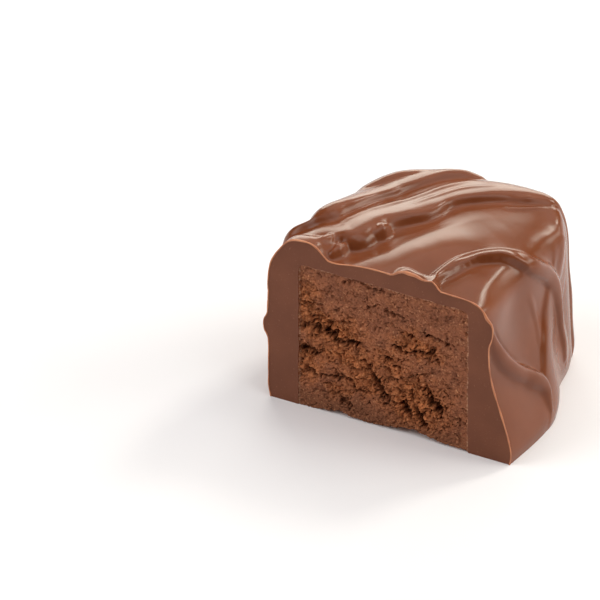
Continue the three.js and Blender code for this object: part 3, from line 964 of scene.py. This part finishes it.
# tears and voids: depth, half width, and the points (x, z) that each runs through
tears = [
    (0.5, 0.13, [(-4.2, 17), (-3, 17.6), (-2, 17.6), (-1.1, 17.2), (0.5, 17.3)]),
    (0.4, 0.12, [(-6.9, 15.1), (-5.6, 15.2)]),
    (0.4, 0.11, [(-1.6, 14.3), (-0.2, 15.3)]),
    (0.6, 0.16, [(0.8, 15), (1.4, 14.7), (3.2, 14.6)]),
    (0.5, 0.14, [(-9, 13), (-7, 13.3)]),
    (0.4, 0.14, [(-5.4, 13.2), (-4.8, 13.4)]),
    (0.5, 0.17, [(-8, 11.7), (-6, 11.3), (-4.8, 11.9), (-3.6, 11.8)]),
    (0.8, 0.26, [(-9, 10.2), (-7.4, 10.2)]),
    (1.5, 0.48, [(-6.3, 10.1), (-5.3, 9.9)]),
    (0.9, 0.25, [(-5.1, 9.3), (-4, 9.2)]),
    (1.3, 0.34, [(-3.6, 9.5), (-2.4, 9.6)]),
    (1.2, 0.36, [(-9.3, 7.2), (-7.8, 6.9)]),
    (0.9, 0.25, [(-8.9, 4.6), (-7.5, 4.5)]),
    (0.8, 0.2, [(-6.9, 4.6), (-5.1, 4.7), (-3.3, 4.8)]),
    (0.5, 0.16, [(-3, 6.4), (-1.6, 6.7)]),
    (0.6, 0.16, [(3, 12.6), (4.4, 12.5)]),
    (0.9, 0.2, [(6, 13.2), (7.2, 13.2), (8.4, 12.8)]),
    (0.9, 0.2, [(2, 10.6), (3.9, 10.3), (5.7, 10.9)]),
    (1.0, 0.24, [(6, 11), (6.6, 11.6)]),
    (1.1, 0.3, [(1, 8.7), (1.5, 8.8)]),
    (0.6, 0.16, [(2, 8.2), (2.5, 8)]),
    (0.6, 0.15, [(7, 10.3), (7.2, 9.9)]),
    (0.5, 0.13, [(1.1, 6.5), (2.2, 6.6), (4, 7.5), (6.6, 8.7)]),
    (0.8, 0.2, [(-1.5, 7.7), (-1, 6.6), (-0.6, 6)]),
    (1.3, 0.36, [(-0.6, 6), (0.1, 5), (0.8, 3.9)]),
    (0.9, 0.25, [(0.8, 3.9), (2, 3.6)]),
    (1.3, 0.4, [(3.2, 3.7), (3.5, 2.8)]),
    (1.6, 0.55, [(6.6, 5.2), (7.1, 4.4)]),
    (0.8, 0.2, [(4.7, 6.3), (6.3, 6.5)]),
    (0.6, 0.16, [(3.8, 5.7), (3.9, 4.7)]),
    (1.0, 0.27, [(4.5, 3.3), (5.1, 2.7), (5.3, 1.8)]),
    (0.6, 0.16, [(-2.9, 4.2), (-2.6, 3.7), (-0.9, 4.1)]),
    (0.8, 0.28, [(-4.3, 2.1), (-3.4, 1.8)]),
    (0.35, 0.1, [(-7.5, 2.4), (-5.3, 2.8)]),
    (0.4, 0.12, [(9.8, 4), (10, 3.1)]),
]
# the ragged lower edge: x and how high the filling starts there
lowerEdge = [
    (-10, 0), (-8.2, 0), (-6, 0.25), (-4.9, 0.6), (-3.6, 0.3), (-1, 0.1), (1.6, 0.4), (3.9, 0.85),
    (6.3, 0.4), (8.8, 0.2), (10.3, 0.2), (11.2, 0),
]


def noiseField(x, z, wide, high, seed):
    return np.array([noise.noise((a / wide, seed, b / high)) for a, b in zip(x.tolist(), z.tolist())])


def cellField(x, z, kind):
    size, seed, level, power = cells[kind]
    nearest = []
    for a, b in zip(x.tolist(), z.tolist()):
        distances, places = noise.voronoi((a / size, seed, b / (size * 0.8)))
        nearest.append(distances[0])
    return np.clip(np.array(nearest) - level, 0, 1) ** power


def patchField(patches, x, z):
    total = np.zeros(len(x))
    for atX, atZ, halfWide, halfHigh, strength in patches:
        gap = ((x - atX) / halfWide) ** 2 + ((z - atZ) / halfHigh) ** 2
        total = np.maximum(total, strength * np.exp(-(gap**1.5)))
    return total


def tearField(x, z, rough):
    total = np.zeros(len(x))
    for depth, half, points in tears:
        for (x1, z1), (x2, z2) in zip(points, points[1:]):
            alongX, alongZ = x2 - x1, z2 - z1
            share = ((x - x1) * alongX + (z - z1) * alongZ) / (alongX**2 + alongZ**2)
            share = np.clip(share, 0, 1)
            gap = np.hypot(x - x1 - share * alongX, z - z1 - share * alongZ) / half
            total = np.maximum(total, depth * (1 - smoothStep(gap * rough, *centre["tearSoftness"])))
    return total


# how far behind the cut each place of the filling is, and how crumbly
def fillingRelief(x, z):
    bentX, bentZ = np.zeros(len(x)), np.zeros(len(x))
    for amount, size, seedX, seedZ in bends:
        bentX += amount * noiseField(x, z, size, size, seedX)
        bentZ += amount * noiseField(x, z, size, size, seedZ)
    amount, size, seedX, seedZ = fineBend
    wx = x + bentX + amount * noiseField(x, z, size, size, seedX)
    wz = z + bentZ + amount * noiseField(x, z, size, size, seedZ)
    crumb = patchField(crumbPatches, wx + bentX * 2, wz + bentZ * 2)
    crumb = centre["smoothCrumb"] + (1 - centre["smoothCrumb"]) * crumb

    rough = centre["tearRoughness"]
    torn = tearField(wx, wz, 1 + rough * noiseField(wx, wz, *patterns["tearEdge"]))
    torn *= np.clip(1 + rough * noiseField(x, z, *patterns["tearDepth"]), 0.3, 1.2)
    line = np.abs(noiseField(wx, wz, *patterns["crackLine"]))
    broken = np.clip((noiseField(wx, wz, *patterns["crackGap"]) + 0.02) / 0.3, 0, 1)
    amounts = {
        "crack": bell(line, centre["crackWidth"]) * broken,
        "lump": cellField(wx, wz, "lump"),
        "grain": cellField(wx, wz, "grain"),
        "pore": np.clip(noiseField(wx, wz, *patterns["pore"]) - 0.3, 0, 1),
    }
    depth = centre["swell"] * noiseField(x, z, *patterns["swell"])
    for kind, amount in amounts.items():
        most, smoothShare = roughness[kind]
        depth += most * amount * (smoothShare + (1 - smoothShare) * crumb)
    return depth + centre["tearDepth"] * torn, crumb


def makeFilling(material):
    bm = bmesh.new()
    bmesh.ops.create_grid(bm, x_segments=centre["cutsAcross"], y_segments=centre["cutsUp"], size=1)
    points = readPoints(bm)
    half = pocket["width"] / 2 + centre["overlap"]
    top = pocket["height"] + centre["overlap"]
    x = points[:, 0] * half + fillingShift
    start = np.interp(x, [place for place, high in lowerEdge], [high for place, high in lowerEdge])
    wander = noiseField(x, np.zeros(len(x)), centre["raggedLength"], 1, 3.1)
    start += centre["raggedness"] * wander * smoothStep(start, 0, 0.2)
    start = np.maximum(start, 0)
    z = start + (points[:, 1] + 1) / 2 * (top - start)
    depth, crumb = fillingRelief(x, z)
    border = np.minimum(half - np.abs(x - fillingShift), top - z)
    depth *= np.clip((border - centre["flatRim"]) / centre["rimFade"], 0, 1)
    layers = {"pit": depth, "crumb": crumb, "border": border, "dull": patchField(dullPatches, x, z)}
    for name, values in layers.items():
        layer = bm.verts.layers.float.new(name)
        for vert, value in zip(bm.verts, values.tolist()):
            vert[layer] = value
    writePoints(bm, np.column_stack([x, centre["setBack"] + depth, z]))
    for face in bm.faces:
        face.smooth = True
    # the cut's outline is pushed back in two steps, and its lower edge comes down to the base
    edges = [edge for edge in bm.edges if edge.is_boundary]
    back = coat["depth"] - pocket["backWall"] + centre["overlap"]
    for place in (centre["underCut"], back):
        pushed = bmesh.ops.extrude_edge_only(bm, edges=edges)["geom"]
        edges = [item for item in pushed if isinstance(item, bmesh.types.BMEdge)]
        for vert in (item for item in pushed if isinstance(item, bmesh.types.BMVert)):
            across = vert.co.x - fillingShift
            if vert.co.z < centre["underCutHeight"]:
                onSide = abs(across) > half - 0.01
                vert.co.z = max(0, vert.co.z - 1) if onSide else 0
            rounding = pocket["backRoundingLeft"] if across < 0 else pocket["backRoundingRight"]
            inside = max(abs(across) - (half - rounding), 0)
            drop = rounding - math.sqrt(max(rounding**2 - inside**2, 0))
            vert.co.y = min(place, back - drop)
    bmesh.ops.contextual_create(bm, geom=edges)
    bmesh.ops.recalc_face_normals(bm, faces=bm.faces)
    filling = finishPiece("centre", bm, "aerated_chocolate", material)
    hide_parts("filling")
    return filling


fillingFinish = {
    "smooth": [(128, 79, 58), (147, 91, 65)],
    "crumbly": [(158, 92, 53), (204, 126, 78)],
    "dull": (124, 78, 54),
    "lightSpeck": (214, 152, 110),
    "darkSpeck": (80, 44, 26),
    "paleRim": (178, 138, 112),
    # painted shade for the pits: the colour they darken towards
    "pitShade": (88, 46, 24),
    "speckShare": 0.6,
    "rimShare": 0.6,
    "rimWidth": (0.5, 0.35),
    "pitShadeShare": 0.85,
    "pitShadeDepth": (0.08, 0.85),
    "patchScale": 900,
    "grainScale": 4500,
    "speckScale": 3800,
    "bumpStrength": 0.8,
    "bumpDistance": 0.0001,
    "roughness": 0.75,
    "gloss": 0.15,
}


def makeFillingMaterial():
    look = fillingFinish
    material, tree, shader = newMaterial("aeratedChocolate")
    place = addNode(tree, "ShaderNodeTexCoord").outputs["Object"]
    pit, crumb, dull, border = [
        addNode(tree, "ShaderNodeAttribute", attribute_name=name).outputs["Fac"]
        for name in ("pit", "crumb", "dull", "border")
    ]
    patchy = addNoise(tree, place, look["patchScale"], 4)
    grain = addNoise(tree, place, look["grainScale"], 3)
    speck = addNoise(tree, place, look["speckScale"], 2)
    smooth, coarse = [
        addRamp(tree, patchy, [(0.35, fromRgb(*look[kind][0])), (0.65, fromRgb(*look[kind][1]))])
        for kind in ("smooth", "crumbly")
    ]
    color = addMix(tree, crumb, smooth, coarse)
    color = addMix(tree, dull, color, fromRgb(*look["dull"]))
    light = addRamp(tree, speck, [(0.6, (0, 0, 0)), (0.72, (1, 1, 1))])
    color = addMix(tree, addProduct(tree, light, look["speckShare"]), color, fromRgb(*look["lightSpeck"]))
    dark = addRamp(tree, speck, [(0.3, (1, 1, 1)), (0.42, (0, 0, 0))])
    color = addMix(tree, addProduct(tree, dark, look["speckShare"]), color, fromRgb(*look["darkSpeck"]))
    pale = addProduct(tree, addRange(tree, border, *look["rimWidth"]), addRange(tree, speck, 0.42, 0.6))
    color = addMix(tree, addProduct(tree, pale, look["rimShare"]), color, fromRgb(*look["paleRim"]))
    # painted shade: the pits are coloured darker the deeper they go, on top of the shade that their depth
    # really gets
    deep = addRange(tree, pit, *look["pitShadeDepth"])
    color = addMix(tree, addProduct(tree, deep, look["pitShadeShare"]), color, fromRgb(*look["pitShade"]))
    bump = addBump(tree, grain, look["bumpStrength"], look["bumpDistance"])
    tree.links.new(color, shader.inputs["Base Color"])
    tree.links.new(bump, shader.inputs["Normal"])
    shader.inputs["Roughness"].default_value = look["roughness"]
    shader.inputs["Specular IOR Level"].default_value = look["gloss"]
    return material


filling = makeFilling(makeFillingMaterial())
print("filling made:", len(filling.data.polygons), "faces")

bpy.context.view_layer.update()
